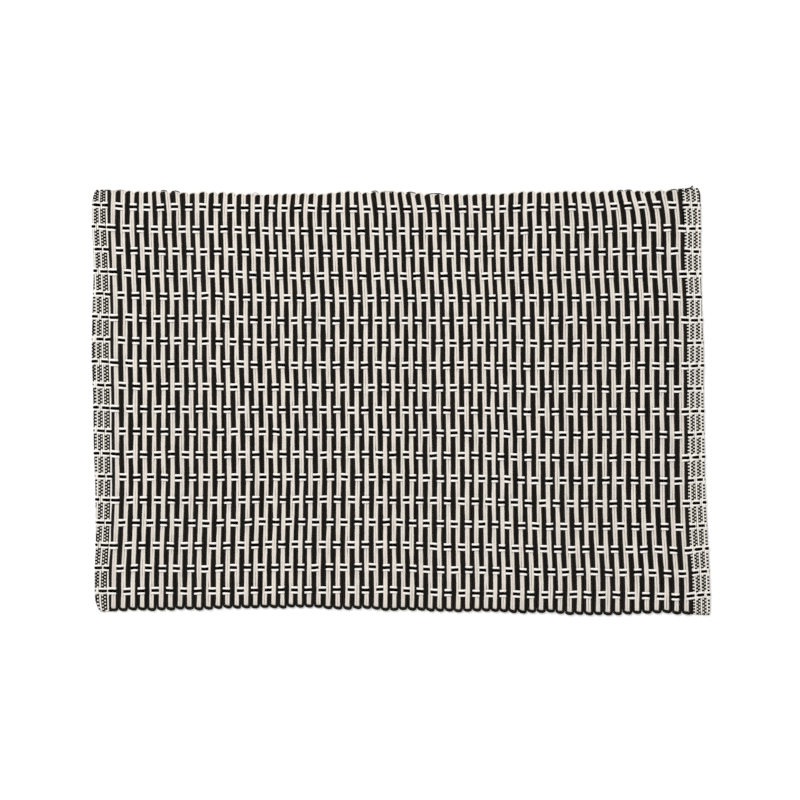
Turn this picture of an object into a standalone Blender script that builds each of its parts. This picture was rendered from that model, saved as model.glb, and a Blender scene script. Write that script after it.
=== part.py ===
"""A ribbed cotton placemat, lying flat.

The mat is woven in one piece. Thick cords run across its depth, in pairs of two
yarns, cream and black in turn. Each end of the mat is closed by a thinner, finely
woven heading. The solid here is one closed sheet: its upper face is raised into a
rib for every cord and every fold of the headings, its underside is flat, and its
outline wanders and is scalloped as the real edges are.

Lengths are in metres, +Z is up, and +X runs along the mat's length. The origin is
the middle of the underside.
"""

import math

import bmesh
import bpy
import numpy as np

MM = 0.001

# Cords across the body, counted from the left end: the first and the last cord are
# half cords, one yarn wide, and black.
YARNS_PER_CORD = 2
CREAM_CORDS = 62
YARNS = YARNS_PER_CORD * 2 * CREAM_CORDS
HEADING_RIBS = 3

# A cord's shoulders stand this share of its width in from the grooves beside it.
CORD_SHOULDER = 0.27

# A heading has one rib to every three of its fine picks. Its first step in from the
# outer end is longer than the others by this share of a step, and a column close to
# the outer end, at this share of the heading's width, carries the rolled edge.
FIRST_STEP_EXTRA = 0.6
END_ROLL_SHARE = 0.09

# Heights above the underside.
CORD_CREST = 3.8 * MM
CORD_VALLEY = 2.8 * MM
HEADING_CREST = 3.1 * MM
HEADING_VALLEY = 2.7 * MM
EDGE_HEIGHT = 1.9 * MM

# Two slow waves in the heights, as lengths along and across the mat and a start.
HEIGHT_WANDER = 0.12 * MM
BROAD_WAVE_LENGTHS = (203.0 * MM, 146.0 * MM)
BROAD_WAVE_START = 0.7
SLANT_WAVE_LENGTHS = (65.0 * MM, 119.0 * MM)
SLANT_WAVE_SHARE = 0.6

# How far in from the edges the cloth has reached its full height.
EDGE_ROLL = 1.5 * MM

# The far edge is scalloped by loops over the black cords, and the near edge by
# deeper loops under the cream cords.
FAR_SCALLOP = 0.5 * MM
NEAR_SCALLOP = 1.6 * MM

# Rows of face points across the mat's depth, between the two rolled edges.
DEPTH_STEPS = 6

# The two long edges in mm: x along the mat, y of the far edge, y of the near edge.
LONG_EDGES = (
    ("x", "far", "near"),
    (-240.2, 165.2, -163.5),
    (-224.7, 165.2, -163.2),
    (-148.4, 163.8, -161.6),
    (-86.2, 162.6, -160.4),
    (-61.3, 163.6, -160.9),
    (-12.3, 164.6, -162.2),
    (36.7, 162.4, -163.3),
    (102.1, 164.2, -164.3),
    (155.0, 164.9, -166.2),
    (200.1, 165.6, -164.9),
    (239.8, 166.7, -166.0),
)

# The two ends in mm: y across the mat, x of the left end, of the body's left border,
# of the left and right ends of the evenly spaced cords, of the body's right border and
# of the right end.
ENDS = (
    ("y", "left", "body_left", "cords_left", "cords_right", "body_right", "right"),
    (164.8, -239.5, -228.7, -227.2, 215.9, 219.4, 232.0),
    (143.0, -240.2, -228.5, -227.7, 218.7, 221.3, 232.8),
    (108.8, -238.7, -227.1, -226.6, 219.4, 221.2, 233.2),
    (74.5, -239.5, -226.2, -225.6, 221.2, 223.0, 233.8),
    (38.7, -240.2, -226.2, -225.5, 221.7, 223.2, 235.1),
    (3.7, -239.1, -225.5, -224.8, 221.8, 223.3, 235.1),
    (-31.3, -238.7, -225.2, -224.5, 222.3, 223.8, 235.9),
    (-67.1, -237.5, -224.9, -224.2, 222.4, 224.1, 236.7),
    (-102.9, -237.1, -225.7, -225.4, 223.4, 225.1, 238.2),
    (-137.9, -237.9, -227.4, -227.0, 225.6, 227.5, 239.8),
    (-162.0, -237.6, -227.2, -226.8, 226.3, 228.2, 239.6),
)

# How far the cords stand from even spacing: the place in yarns and the shift in mm.
CORD_SHIFTS = (
    ("yarn", "shift"),
    (0, 0.0),
    (16, 0.35),
    (36, 0.45),
    (60, 0.7),
    (70, 0.45),
    (82, -0.9),
    (100, -0.6),
    (120, -0.45),
    (129, -1.35),
    (150, -1.65),
    (161, -1.9),
    (174, -3.6),
    (182, -3.5),
    (204, -2.95),
    (224, -1.8),
    (236, -0.85),
    (248, 0.5),
)

# Rounded corners in mm: the reach of each along the mat and across it.
CORNERS = {
    ("left", "far"): (4.0, 11.0),
    ("left", "near"): (7.0, 14.0),
    ("right", "far"): (3.0, 7.0),
    ("right", "near"): (1.5, 2.5),
}

CREAM = (0.753, 0.701, 0.638)
BLACK = (0.011, 0.009, 0.008)
COTTON_ROUGHNESS = 0.9
SHARP_ANGLE = math.radians(50)


def clear_scene():
    for obj in list(bpy.data.objects):
        bpy.data.objects.remove(obj, do_unlink=True)


def column(table, name):
    place = table[0].index(name)
    return np.array([row[place] for row in table[1:]], dtype=float)


def smooth_through(table, across, name, at):
    """The value of a table's column at a place, on a smooth curve through its rows."""
    places, values = column(table, across), column(table, name)
    if places[0] > places[-1]:
        places, values = places[::-1], values[::-1]
    slopes = np.gradient(values, places)
    at = min(max(at, places[0]), places[-1])
    k = min(int(np.searchsorted(places, at, side="right")) - 1, len(places) - 2)
    span = places[k + 1] - places[k]
    t = (at - places[k]) / span
    return float(
        values[k] * (1 + 2 * t) * (1 - t) ** 2
        + slopes[k] * span * t * (1 - t) ** 2
        + values[k + 1] * t * t * (3 - 2 * t)
        + slopes[k + 1] * span * t * t * (t - 1)
    )


def line_y(name, x):
    return smooth_through(LONG_EDGES, "x", name, x / MM) * MM


def end_x(name, y):
    return smooth_through(ENDS, "y", name, y / MM) * MM


def body_columns():
    """Columns of face points across the body: yarns in from the left, and if a crest.

    A cord has a column in the groove at its left and one on each shoulder.
    """
    grooves = [0, *range(1, YARNS, YARNS_PER_CORD), YARNS]
    columns = []
    for left, right in zip(grooves, grooves[1:]):
        shoulder = CORD_SHOULDER * (right - left)
        columns += [(left, False), (left + shoulder, True), (right - shoulder, True)]
    return columns + [(YARNS, False)]


def heading_columns():
    """Columns across a heading, as shares of its width from its edge to the body."""
    steps = 2 * HEADING_RIBS
    return [(0.0, False), (END_ROLL_SHARE, False)] + [
        ((step + FIRST_STEP_EXTRA) / (steps + FIRST_STEP_EXTRA), step % 2 == 1)
        for step in range(1, steps)
    ]


def all_columns():
    """Every column as (zone, place in the zone, is a crest), from left to right."""
    heading = heading_columns()
    columns = [("left", place, crest) for place, crest in heading]
    columns += [("body", place, crest) for place, crest in body_columns()]
    return columns + [("right", place, crest) for place, crest in reversed(heading)]


def column_x(zone, place, y):
    """How far along the mat a column stands, at a place y across it."""
    if zone != "body":
        return end_x(zone, y) + place * (end_x("body_" + zone, y) - end_x(zone, y))
    if place == 0:
        return end_x("body_left", y)
    if place == YARNS:
        return end_x("body_right", y)
    left, right = end_x("cords_left", y), end_x("cords_right", y)
    shift = smooth_through(CORD_SHIFTS, "yarn", "shift", place) * MM
    return left + place / YARNS * (right - left) + shift


def corner_drop(side, end, x, y):
    """How far a rounded corner pulls the long edge in, at a column x of a heading."""
    reach_x, reach_y = (size * MM for size in CORNERS[(side, end)])
    inwards = abs(x - end_x(side, y))
    if inwards >= reach_x:
        return 0.0
    return reach_y * (1 - math.sqrt(1 - (1 - inwards / reach_x) ** 2))


def scallop(place):
    """Runs from 1 at the middle of a cream cord to -1 at the middle of a black one."""
    return -math.cos(math.pi * place / YARNS_PER_CORD)


def edge_y(zone, place, end):
    """The far or near edge at a column."""
    start = line_y(end, 0.0)
    x = column_x(zone, place, start)
    y = line_y(end, x)
    outwards = 1 if end == "far" else -1
    if zone != "body":
        return y - outwards * corner_drop(zone, end, x, y)
    wave = scallop(place)
    if end == "far":
        return y - FAR_SCALLOP * (1 + wave) / 2
    return y + NEAR_SCALLOP * (1 - wave) / 2


def depth_places(far, near):
    """The rows of face points of a column, from its near edge to its far one."""
    inner = np.linspace(near + EDGE_ROLL, far - EDGE_ROLL, DEPTH_STEPS)
    return [near, *inner, far]


def height(zone, crest, row, x, y):
    """The height of a face point, with the slow unevenness of handled cloth."""
    if row in (0, DEPTH_STEPS + 1):
        return EDGE_HEIGHT
    if zone == "body":
        base = CORD_CREST if crest else CORD_VALLEY
    else:
        base = HEADING_CREST if crest else HEADING_VALLEY
    turn = 2 * math.pi
    along, across = (turn * spot / size for spot, size in zip((x, y), BROAD_WAVE_LENGTHS))
    broad = math.sin(along + BROAD_WAVE_START) * math.cos(across)
    along, across = (turn * spot / size for spot, size in zip((x, y), SLANT_WAVE_LENGTHS))
    slant = math.sin(along + across)
    wave = (broad + SLANT_WAVE_SHARE * slant) / (1 + SLANT_WAVE_SHARE)
    return base + HEIGHT_WANDER * wave


def cotton(name, colour):
    material = bpy.data.materials.new(name)
    material.use_nodes = True
    shader = material.node_tree.nodes["Principled BSDF"]
    shader.inputs["Base Color"].default_value = (*colour, 1.0)
    shader.inputs["Roughness"].default_value = COTTON_ROUGHNESS
    shader.inputs["Metallic"].default_value = 0.0
    material.diffuse_color = (*colour, 1.0)
    return material


def shape_upper_face(bm, columns):
    """Moves the grid's points to the cords, the headings and the outline."""
    across = len(columns) - 1
    rows = DEPTH_STEPS + 1
    for vert in bm.verts:
        col = round((vert.co.x + 1) / 2 * across)
        row = round((vert.co.y + 1) / 2 * rows)
        zone, place, crest = columns[col]
        far, near = edge_y(zone, place, "far"), edge_y(zone, place, "near")
        y = depth_places(far, near)[row]
        x = column_x(zone, place, y)
        z = EDGE_HEIGHT if col in (0, across) else height(zone, crest, row, x, y)
        vert.co = (x, y, z)


def colour_cords(bm, columns):
    """Gives each strip of faces between two columns its cord's colour."""
    across = len(columns) - 1
    for face in bm.faces:
        middle = (face.calc_center_median().x + 1) / 2 * across
        zone, place, crest = columns[int(middle)]
        if zone != "body":
            continue
        cord = int((place + 1) // YARNS_PER_CORD)
        face.material_index = 0 if cord % 2 else 1


def close_underside(bm):
    """Drops a wall from the rim to the surface and closes it with one flat face."""
    rim = [edge for edge in bm.edges if edge.is_boundary]
    wall = bmesh.ops.extrude_edge_only(bm, edges=rim)["geom"]
    for vert in (item for item in wall if isinstance(item, bmesh.types.BMVert)):
        vert.co.z = 0.0
    foot = [edge for edge in bm.edges if edge.is_boundary]
    bmesh.ops.contextual_create(bm, geom=foot)
    bmesh.ops.recalc_face_normals(bm, faces=bm.faces)


def centre_on_origin(bm):
    low = [min(vert.co[axis] for vert in bm.verts) for axis in range(2)]
    high = [max(vert.co[axis] for vert in bm.verts) for axis in range(2)]
    shift = (-(low[0] + high[0]) / 2, -(low[1] + high[1]) / 2, 0.0)
    bmesh.ops.translate(bm, vec=shift, verts=bm.verts)


def build_placemat(collection):
    columns = all_columns()
    bm = bmesh.new()
    bmesh.ops.create_grid(
        bm, x_segments=len(columns) - 1, y_segments=DEPTH_STEPS + 1, size=1.0
    )
    colour_cords(bm, columns)
    shape_upper_face(bm, columns)
    close_underside(bm)
    centre_on_origin(bm)
    mesh = bpy.data.meshes.new("placemat")
    bm.to_mesh(mesh)
    bm.free()
    mesh.materials.append(cotton("cream_cotton", CREAM))
    mesh.materials.append(cotton("black_cotton", BLACK))
    mesh.shade_smooth()
    mesh.set_sharp_from_angle(angle=SHARP_ANGLE)
    placemat = bpy.data.objects.new("placemat", mesh)
    collection.objects.link(placemat)


def main():
    clear_scene()
    collection = bpy.data.collections.new("placemat")
    bpy.context.scene.collection.children.link(collection)
    build_placemat(collection)


main()
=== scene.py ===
"""Weaves a ribbed cotton placemat, yarn by yarn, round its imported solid.

Thick yarns run across the mat's depth in pairs, cream and black in turn. Eighteen
rows of three ends each, cream, black and cream, cross them over three yarns and
under three, and show as short bars. Each end of the mat is a fine woven heading.
"""

import math
from typing import NamedTuple

import bmesh
import bpy
import numpy as np
from bpy.props import FloatProperty, FloatVectorProperty, IntProperty, PointerProperty
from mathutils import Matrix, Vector


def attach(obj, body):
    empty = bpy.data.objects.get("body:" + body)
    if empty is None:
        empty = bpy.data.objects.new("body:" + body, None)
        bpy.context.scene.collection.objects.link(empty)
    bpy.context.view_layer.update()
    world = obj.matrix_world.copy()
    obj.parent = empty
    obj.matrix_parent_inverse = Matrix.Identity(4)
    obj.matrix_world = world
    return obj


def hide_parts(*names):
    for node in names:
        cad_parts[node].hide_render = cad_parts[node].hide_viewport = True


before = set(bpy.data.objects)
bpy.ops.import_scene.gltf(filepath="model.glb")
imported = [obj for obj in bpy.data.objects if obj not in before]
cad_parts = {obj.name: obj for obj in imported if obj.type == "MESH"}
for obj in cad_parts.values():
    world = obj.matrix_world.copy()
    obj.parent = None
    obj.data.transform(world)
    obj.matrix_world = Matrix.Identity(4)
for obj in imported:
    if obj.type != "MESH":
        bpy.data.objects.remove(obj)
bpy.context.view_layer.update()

bl_info = {
    "name": "Woven Placemat",
    "version": (1, 0, 0),
    "blender": (4, 5, 0),
    "location": "3D View > Sidebar > Placemat",
    "description": "Weaves a ribbed placemat with barred rows and fine headings",
    "category": "Add Mesh",
}

MM = 0.001

# The weave. The body's yarns are counted from its left end, and a place among them
# is a number from 0 to YARNS. A place among the rows runs from 0 at the farthest
# row to ROWS - 1 at the nearest. A row passes over FLOAT yarns and under as many.
YARNS = 248
YARNS_PER_CORD = 2
FLOAT = 3
ROWS = 18
ROW_SPACING = 17.56 * MM

# The headings' sides, and which way each side and long edge lies from the middle.
SIDES = ("left", "right")
OUTWARDS = {"left": -1, "right": 1, "near": -1, "far": 1}

# The long edges in mm: x along the mat, y of each.
EDGE_LINES = (
    ("x", "far", "near"),
    (-240.2, 165.2, -163.5),
    (-224.7, 165.2, -163.2),
    (-148.4, 163.8, -161.6),
    (-86.2, 162.6, -160.4),
    (-61.3, 163.6, -160.9),
    (-12.3, 164.6, -162.2),
    (36.7, 162.4, -163.3),
    (102.1, 164.2, -164.3),
    (155.0, 164.9, -166.2),
    (200.1, 165.6, -164.9),
    (239.8, 166.7, -166.0),
)

# Four of the rows in mm: x along the mat, y of each.
ROW_LINES = (
    ("x", "first", "sixth", "thirteenth", "last"),
    (-237.0, 153.6, 66.6, -57.9, -146.9),
    (-225.0, 152.7, 65.9, -58.4, -147.3),
    (-205.0, 151.7, 65.1, -58.6, -147.0),
    (-142.0, 151.4, 64.7, -58.9, -147.2),
    (-105.0, 150.6, 63.6, -58.4, -146.4),
    (-60.0, 150.5, 63.3, -58.5, -146.4),
    (-12.0, 149.9, 63.3, -58.7, -146.2),
    (37.0, 150.2, 63.2, -59.5, -148.6),
    (60.0, 149.7, 63.3, -59.6, -148.9),
    (102.0, 151.1, 63.2, -61.1, -149.9),
    (155.0, 151.6, 63.6, -61.3, -150.2),
    (200.0, 153.5, 63.8, -61.2, -151.1),
    (222.0, 152.9, 63.6, -61.5, -151.8),
    (236.0, 153.0, 63.8, -60.5, -149.9),
)
INNER_ROWS = {"sixth": 5, "thirteenth": 12}

# The two ends in mm: y across the mat, x of the left end, of the body's left border,
# of the left and right ends of the evenly spaced cords, of the body's right border and
# of the right end, and how far each heading's picks open out there.
ENDS = (
    ("y", "left", "body_left", "cords_left", "cords_right", "body_right", "right",
     "left_spread", "right_spread"),
    (164.8, -239.5, -228.7, -227.2, 215.9, 219.4, 232.9, 1.0, 0.99),
    (143.0, -240.2, -228.5, -227.7, 218.7, 221.3, 233.2, 1.0, 0.96),
    (108.8, -238.7, -227.1, -226.6, 219.4, 221.5, 233.4, 1.0, 0.98),
    (74.5, -239.5, -226.2, -225.6, 221.2, 223.2, 234.2, 1.0, 0.96),
    (38.7, -240.2, -226.2, -225.5, 221.7, 223.2, 235.4, 1.0, 0.98),
    (3.7, -239.1, -225.5, -224.8, 221.8, 223.3, 235.4, 1.0, 0.97),
    (-31.3, -238.7, -225.2, -224.5, 222.3, 223.8, 236.1, 1.0, 0.99),
    (-67.1, -237.5, -224.9, -224.2, 222.4, 224.1, 236.7, 1.0, 1.01),
    (-102.9, -237.1, -225.7, -225.4, 223.4, 225.1, 238.4, 1.04, 1.07),
    (-137.9, -237.9, -227.4, -227.0, 225.6, 227.5, 240.1, 1.10, 1.01),
    (-162.0, -237.6, -227.2, -226.8, 226.3, 228.2, 240.6, 1.12, 1.0),
)

# How far the cords stand from even spacing, by their place among the yarns, in mm.
CORD_SHIFTS = (
    ("yarn", "shift"),
    (0, 0.0), (16, 0.35), (36, 0.45), (60, 0.7), (70, 0.45), (82, -0.9),
    (100, -0.6), (120, -0.45), (129, -1.35), (150, -1.65), (161, -1.9), (174, -3.6),
    (182, -3.5), (204, -2.95), (224, -1.8), (236, -0.85), (248, 0.5),
)

# How far the cords lean aside at the far long edge, in the same way.
FAR_SHIFTS = (
    ("yarn", "shift"),
    (0, 0.0), (16, -0.4), (24, -1.8), (30, -0.7), (44, 0.4), (58, 0.3),
    (76, 1.4), (88, 1.6), (104, 0.5), (116, -1.2), (121, -0.8), (132, -1.7),
    (144, -0.5), (160, 0.3), (184, 1.8), (192, 1.3), (208, -0.1), (220, -0.7),
    (229, -1.9), (237, -2.0), (244, -0.2), (248, 0.9),
)

# The cords wander more near the long edges, lean to the left at the near one, and keep
# to their line in the outermost yarns. A cream cord's two yarns draw together by a
# share of a yarn, and the yarn at either end of the body has a place and a thickness.
EDGE_WANDER_REACH = 20.0 * MM
NEAR_LEAN = 0.6 * MM
CALM_YARNS = 8.0
CREAM_CLOSENESS = 0.03
END_YARNS = {0: (0.22, 0.88), YARNS - 1: (YARNS - 0.15, 1.04)}

# Rounded corners in mm: the reach of each along the mat and across it. The picks draw
# together there, by a share of the rounding.
CORNERS = {
    ("left", "far"): (4.0, 11.0),
    ("left", "near"): (6.0, 13.0),
    ("right", "far"): (3.0, 7.0),
    ("right", "near"): (1.5, 2.5),
}
CORNER_GATHER = 0.45

# The picks of each heading: how far each lies from the body in mm, and which threads
# cross over it on the mat's face, those of odd or of even places or none.
ODD, EVEN, NEITHER = 1, 0, None
PICKS = {
    "left": (
        (0.45, NEITHER), (2.6, EVEN), (4.3, ODD),
        (6.0, NEITHER), (7.7, EVEN), (9.3, ODD),
        (10.9, NEITHER), (12.3, EVEN), (13.5, ODD),
    ),
    "right": (
        (0.1, EVEN), (1.4, NEITHER), (2.8, ODD),
        (4.3, EVEN), (5.9, NEITHER), (7.5, ODD),
        (9.0, EVEN), (10.4, NEITHER), (11.7, ODD),
    ),
}

# Where the rows' ends change face in a heading, in mm from the body, for the first
# row and every other one, and for the rows between.
HEADING_CROSSINGS = {
    ("left", 0): (0.0, 3.7, 5.9, 10.7),
    ("left", 1): (0.4, 2.1, 6.6, 9.8),
    ("right", 0): (0.0, 4.2, 6.9, 10.6),
    ("right", 1): (0.5, 2.8, 7.7, 10.7),
}

# The middle of either heading lies about this far from the mat's middle.
HEADING_MIDDLE = 232.0 * MM

# The fine threads of a heading, by their places among the rows: those between two
# rows, those beyond the first row and those beyond the last. The outermost lie at
# EDGE_PLACES among the rows, a little inside the long edges.
THREADS_BETWEEN_ROWS = 10
FAR_THREADS = 9
NEAR_THREADS = 10
ROW_MARGIN = 0.175
EDGE_PLACES = (-0.70, ROWS - 0.20)
OUTER_THREAD_INSET = 0.75 * MM

# The fine threads that show along the far edge, in mm: where each starts and ends along
# the mat, and how far beyond the edge its middle lies. The cream ones are a darker cream,
# a painted shadow of the loops over the black cords.
EDGE_THREADS = {
    "black": (
        ("start", "end", "beyond"),
        (-187.2, -181.8, 0.1),
        (-179.0, -171.8, -0.3),
        (-23.0, -17.6, -0.5),
        (4.0, 12.0, -0.5),
        (21.6, 34.2, -0.5),
        (168.6, 173.2, -0.3),
        (173.8, 180.2, -0.2),
        (209.8, 215.2, -0.5),
    ),
    "cream": (
        ("start", "end", "beyond"),
        (-223.6, -213.2, -0.3),
        (-115.6, -110.6, 0.0),
        (-14.0, -7.0, -0.5),
    ),
}

# The loose end of a black thread beyond the far edge, in mm.
LOOSE_END = (
    ("x", "y"),
    (220.6, 163.4), (222.9, 165.9), (225.0, 166.2), (226.0, 166.9), (227.2, 168.2),
)


def column(table, name):
    place = table[0].index(name)
    return np.array([row[place] for row in table[1:]], dtype=float)


def smooth_through(table, across, name, at):
    """A table's column at some places, on a smooth curve through its rows."""
    places, values = column(table, across), column(table, name)
    if places[0] > places[-1]:
        places, values = places[::-1], values[::-1]
    slopes = np.gradient(values, places)
    at = np.clip(np.asarray(at, dtype=float), places[0], places[-1])
    k = np.clip(np.searchsorted(places, at, side="right") - 1, 0, len(places) - 2)
    span = places[k + 1] - places[k]
    t = (at - places[k]) / span
    return (
        values[k] * (1 + 2 * t) * (1 - t) ** 2
        + slopes[k] * span * t * (1 - t) ** 2
        + values[k + 1] * t * t * (3 - 2 * t)
        + slopes[k + 1] * span * t * t * (t - 1)
    )


def ease(t):
    t = np.clip(t, 0, 1)
    return t * t * (3 - 2 * t)


class Waves:
    """Slow unevenness: a sum of seeded waves, at least so many yarns and rows long."""

    def __init__(self, seed, size, yarns, rows, count=9, spread=4):
        rng = np.random.default_rng(seed)
        turn = rng.choice((-1, 1), count)
        self.per_yarn = 2 * math.pi * turn / rng.uniform(yarns, spread * yarns, count)
        self.per_row = 2 * math.pi / rng.uniform(rows, spread * rows, count)
        self.start = rng.uniform(0, 2 * math.pi, count)
        self.size = size * math.sqrt(2 / count)

    def __call__(self, yarn, row):
        yarn, row = np.broadcast_arrays(np.asarray(yarn, float), np.asarray(row, float))
        phase = yarn[..., None] * self.per_yarn + row[..., None] * self.per_row + self.start
        return self.size * np.sin(phase).sum(-1)


CORD_DRIFT = Waves(11, 0.20 * MM, yarns=50, rows=6)
CORD_WIGGLE = Waves(16, 0.09 * MM, yarns=2.3, rows=1.3)
LOOP_DRIFT = Waves(17, 0.30 * MM, yarns=9, rows=4)
SLANT_DRIFT = Waves(18, 0.07, yarns=11, rows=4)
ROW_DRIFT = Waves(12, 0.14 * MM, yarns=14, rows=1.2)
BAR_DRIFT = Waves(13, 0.10 * MM, yarns=4, rows=0.7)
THICKNESS = Waves(14, 0.042, yarns=1.3, rows=0.3)
HEIGHT_DRIFT = Waves(15, 0.08 * MM, yarns=20, rows=3.0)


def line_y(name, x):
    """How far across the mat a long edge is, at a place along it."""
    return smooth_through(EDGE_LINES, "x", name, np.asarray(x) / MM) * MM


def end_x(name, y):
    """How far along the mat an end or a border is, at a place across it."""
    return smooth_through(ENDS, "y", name, np.asarray(y) / MM) * MM


def row_y(row, x):
    """How far across the mat a place among the rows is, at a place along it."""
    at = {name: smooth_through(ROW_LINES, "x", name, np.asarray(x) / MM) * MM
          for name in ROW_LINES[0][1:]}
    end = ROWS - 1
    slope = (at["last"] - at["first"]) / end
    bows = [
        (at[name] - at["first"] - slope * place) / (place * (end - place))
        for name, place in INNER_ROWS.items()
    ]
    sixth, thirteenth = INNER_ROWS.values()
    inside = np.clip(row, 0, end)
    bow = bows[0] + (bows[1] - bows[0]) * (inside - sixth) / (thirteenth - sixth)
    return at["first"] + slope * row + bow * inside * (end - inside)


def cord_x(yarn, row, y):
    """How far along the mat a place among the yarns is."""
    left, right = end_x("cords_left", y), end_x("cords_right", y)
    shift = smooth_through(CORD_SHIFTS, "yarn", "shift", yarn) * MM
    far_shift = smooth_through(FAR_SHIFTS, "yarn", "shift", yarn) * MM
    far = ease(1 - (line_y("far", 0.0) - y) / EDGE_WANDER_REACH)
    near = ease(1 - (y - line_y("near", 0.0)) / EDGE_WANDER_REACH)
    calm = np.clip(np.minimum(yarn, YARNS - yarn) / CALM_YARNS, 0, 1)
    drift = CORD_DRIFT(yarn, row) + CORD_WIGGLE(yarn, row)
    even = left + yarn / YARNS * (right - left)
    return even + shift + far * far_shift - near * NEAR_LEAN + calm * drift


def crossing_y(yarn, row):
    """How far across the mat a place among the rows is, where a yarn crosses it."""
    return row_y(row, cord_x(yarn, row, row_y(row, 0.0)))


def yarn_near(x):
    """About which place among the yarns lies at a place along the mat."""
    return YARNS * (0.5 + x / (2 * HEADING_MIDDLE))


def heading_edge(side, y):
    """The outer end of a heading, with its rounded corners."""
    edge = end_x(side, y)
    for end in ("far", "near"):
        reach_x, reach_y = (size * MM for size in CORNERS[(side, end)])
        start = OUTWARDS[end] * line_y(end, edge) - reach_y
        t = np.clip((OUTWARDS[end] * y - start) / reach_y, 0, 1)
        edge = edge - OUTWARDS[side] * reach_x * (1 - np.sqrt(1 - t * t))
    return edge


def heading_x(side, reach, y):
    """A place in a heading, by how far in mm it lies from the body."""
    spread = end_x(side + "_spread", y) / MM
    body, edge = end_x("body_" + side, y), end_x(side, y)
    rounded = (edge - heading_edge(side, y)) / (edge - body)
    return body + OUTWARDS[side] * reach * MM * spread * (1 - CORNER_GATHER * rounded)


def within_heading(side, x, y, margin):
    """Keeps places inside a heading's outer end, and tells how far they had passed it."""
    outwards = OUTWARDS[side]
    limit = heading_edge(side, y) - outwards * margin
    past = np.clip(outwards * (x - limit), 0, None)
    return x - outwards * past, past


def heading_y(place, x):
    """How far across the mat a place among the rows is, within a heading."""
    y = row_y(np.clip(place, 0, ROWS - 1), x)
    far_place, near_place = EDGE_PLACES
    past_far = np.clip(place / far_place, 0, 1)
    past_near = np.clip((place - ROWS + 1) / (near_place - ROWS + 1), 0, 1)
    y = y + past_far * (line_y("far", x) - OUTER_THREAD_INSET - y)
    return y + past_near * (line_y("near", x) + OUTER_THREAD_INSET - y)


def thread_places():
    """Every fine thread of a heading: its place among the rows, and EVEN or ODD."""
    far_place, near_place = EDGE_PLACES
    last = ROWS - 1
    groups = [
        (-ROW_MARGIN, far_place, FAR_THREADS, ODD),
        (last + ROW_MARGIN, near_place, NEAR_THREADS, EVEN),
    ]
    for row in range(last):
        groups.append((row + ROW_MARGIN, row + 1 - ROW_MARGIN, THREADS_BETWEEN_ROWS, EVEN))
    return sorted(
        (place, (first + k) % 2)
        for start, stop, count, first in groups
        for k, place in enumerate(np.linspace(start, stop, count))
    )


def property_kind(kind, **rules):
    """A kind of property that takes a name, a description and a default."""
    def made(name, description, default):
        return kind(name=name, description=description, default=default, **rules)
    return made


LengthProperty = property_kind(FloatProperty, unit="LENGTH", precision=5)
ShareProperty = property_kind(FloatProperty, subtype="FACTOR", min=0, max=1)
StrengthProperty = property_kind(FloatProperty, min=0)
PowerProperty = property_kind(FloatProperty, unit="POWER", min=0)
CountProperty = property_kind(IntProperty, min=1, max=6)
ColourProperty = property_kind(FloatVectorProperty, subtype="COLOR", size=3, min=0, max=1)


class WeaveSizes(bpy.types.PropertyGroup):
    """Thickness of the yarns and how far they bend over and under each other."""

    cord_width: LengthProperty("Cord yarn width", "Width of a cord's yarn", 1.83 * MM)
    black_swell: ShareProperty(
        "Black cord swell", "How much thicker the black cords' yarns are", 0.09
    )
    cord_height: LengthProperty("Cord yarn height", "Height of a cord's yarn", 1.80 * MM)
    cord_crimp: LengthProperty(
        "Cord crimp", "How far a cord rises and falls at the bars", 0.55 * MM
    )
    bar_width: LengthProperty("Bar width", "Width of the yarn of the bars", 1.84 * MM)
    black_bar_width: LengthProperty(
        "Black bar width", "Width of the yarn of the black bars", 2.14 * MM
    )
    bar_height: LengthProperty("Bar height", "Height of the yarn of the bars", 1.55 * MM)
    bar_pitch: LengthProperty("Bar pitch", "Distance between the ends of one row", 1.97 * MM)
    bar_crimp: LengthProperty(
        "Bar crimp", "How far the bars rise and fall round the cords", 1.05 * MM
    )
    middle: LengthProperty("Middle height", "Height of the body's middle layer", 1.90 * MM)
    edge_drop: LengthProperty("Edge drop", "How far the long edges lie below the body", 0.75 * MM)
    edge_reach: LengthProperty(
        "Edge reach", "How far in from a long edge the drop begins", 11.0 * MM
    )


class HeadingSizes(bpy.types.PropertyGroup):
    """Thickness and bend of the fine yarns of the headings."""

    middle: LengthProperty("Middle height", "Height of a heading's middle layer", 1.62 * MM)
    pick_width: LengthProperty("Pick width", "Width of the yarn along a heading", 1.52 * MM)
    pick_height: LengthProperty("Pick height", "Height of the yarn along a heading", 1.20 * MM)
    pick_crimp: LengthProperty("Pick crimp", "How far that yarn rises and falls", 0.36 * MM)
    thread_width: LengthProperty("Thread width", "Width of the fine black threads", 1.52 * MM)
    thread_height: LengthProperty("Thread height", "Height of the fine black threads", 0.90 * MM)
    thread_crimp: LengthProperty("Thread crimp", "How far the threads rise and fall", 0.74 * MM)
    bar_crimp: LengthProperty("Bar crimp", "How far the rows' ends rise and fall here", 0.85 * MM)


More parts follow.
